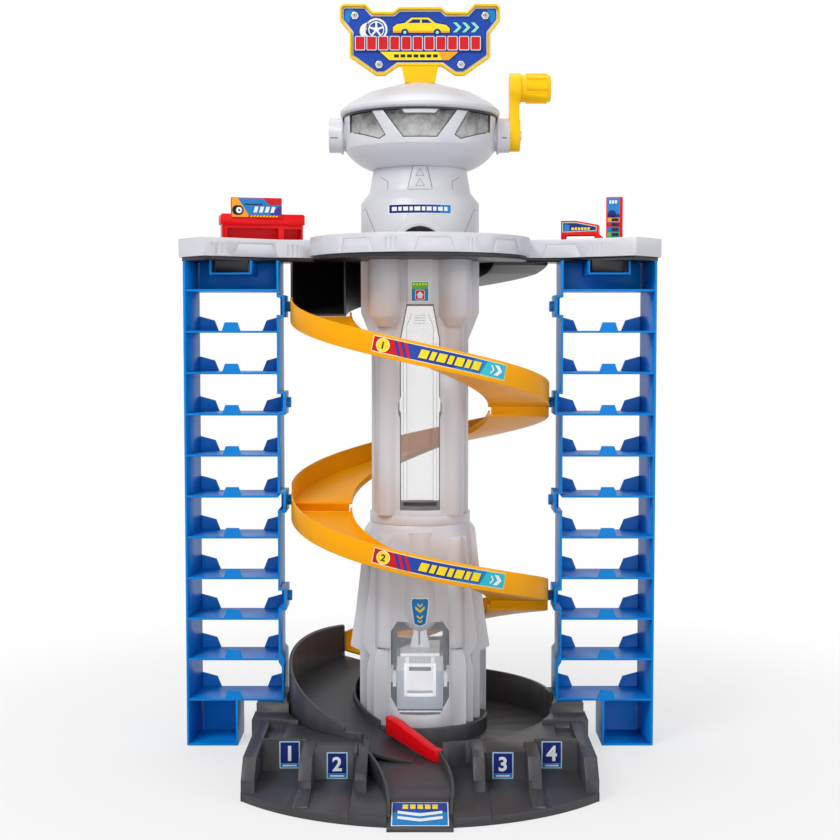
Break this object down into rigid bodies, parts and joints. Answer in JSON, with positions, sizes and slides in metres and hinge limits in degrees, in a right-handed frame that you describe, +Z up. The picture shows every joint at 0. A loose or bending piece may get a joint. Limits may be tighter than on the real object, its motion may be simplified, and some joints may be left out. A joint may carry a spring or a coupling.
{
  "type": "toy parking garage",
  "caption": "Toy car garage: grey tower with hand-cranked lift, deck with shop and sign, orange spiral track, blue parking racks and dark base with slots and exit lane",
  "frame": {"origin": "on the floor, under the axis of the tower", "axes": "+Z up, front towards -Y, +X to the right seen from the front"},
  "size_m": [0.452, 0.3965, 0.6931],
  "materials": {
    "grey_plastic": "satin",
    "dark_plastic": "satin",
    "orange_plastic": "gloss",
    "blue_plastic": "gloss",
    "red_plastic": "gloss",
    "yellow_plastic": "gloss",
    "clear_plastic": "clear",
    "window_plastic": "gloss",
    "sign_plastic": "gloss",
    "frame_plastic": "satin",
    "steel": "satin",
    "white_plastic": "satin",
    "line_plastic": "clear"
  },
  "bodies": {
    "garage": {"base_centre": "dark_plastic", "base_wing_left": "dark_plastic", "base_wing_right": "dark_plastic", "column_lower_back": "grey_plastic", "column_lower_front": "grey_plastic", "column_ring": "grey_plastic", "column_upper_back": "grey_plastic", "column_upper_front": "grey_plastic", "deck_top": "grey_plastic", "deck_underside": "dark_plastic", "diverter_pin": "steel", "door_frame": "white_plastic", "drum_neck": "grey_plastic", "exit_ramp": "dark_plastic", "gas_canopy": "red_plastic", "guide_rails": "dark_plastic", "head_bowl": "grey_plastic", "hub_bearing_right": "grey_plastic", "hub_cap_left": "grey_plastic", "landing_channel": "dark_plastic", "lift_door_window": "clear_plastic", "lift_entry_housing": "grey_plastic", "price_board": "sign_plastic", "rack_left_bin": "blue_plastic", "rack_left_header": "blue_plastic", "rack_left_inner_wall": "blue_plastic", "rack_left_outer_wall": "blue_plastic", "rack_left_shelves": "blue_plastic", "rack_right_bin": "blue_plastic", "rack_right_header": "blue_plastic", "rack_right_inner_wall": "blue_plastic", "rack_right_outer_wall": "blue_plastic", "rack_right_shelves": "blue_plastic", "roof": "grey_plastic", "shaft_window_back": "clear_plastic", "shaft_window_front": "clear_plastic", "shop_board": "sign_plastic", "shop_body": "red_plastic", "sign_bolts": "steel", "sign_frame": "yellow_plastic", "sign_panel": "sign_plastic", "sign_stem": "yellow_plastic", "track_segment_1": "orange_plastic", "track_segment_2": "orange_plastic", "track_segment_3": "orange_plastic", "track_segment_4": "orange_plastic", "upper_ramp": "dark_plastic", "window_frame": "frame_plastic", "window_panes": "window_plastic"},
    "crank": {"crank_arm": "yellow_plastic", "crank_axle": "steel", "crank_screw": "steel", "crank_spool": "dark_plastic"},
    "knob": {"crank_knob": "red_plastic"},
    "lift": {"hoist_line": "line_plastic", "lift_cabin": "clear_plastic", "lift_floor": "white_plastic", "lift_frame": "white_plastic"},
    "diverter": {"diverter_vane": "red_plastic"}
  },
  "joints": [
    {"name": "crank_turn", "type": "hinge", "parent": "garage", "child": "crank", "pos_m": [0, 0, 0.5754], "axis": [-1, 0, 0], "range_deg": [0, 1800]},
    {"name": "knob_spin", "type": "hinge", "parent": "crank", "child": "knob", "pos_m": [0.108, 0, 0.6192], "axis": [1, 0, 0], "continuous": true},
    {"name": "lift_slide", "type": "slide", "parent": "garage", "child": "lift", "axis": [0, 0, 1], "range_m": [0, 0.427], "deforming": ["hoist_line"]},
    {"name": "vane_swing", "type": "hinge", "parent": "garage", "child": "diverter", "pos_m": [0.0155, -0.117, 0], "axis": [0, 0, 1], "range_deg": [0, 40]}
  ],
  "couplings": [
    {"joint": "lift_slide", "follows": "crank_turn", "m_per_rad": 0.013592}
  ]
}
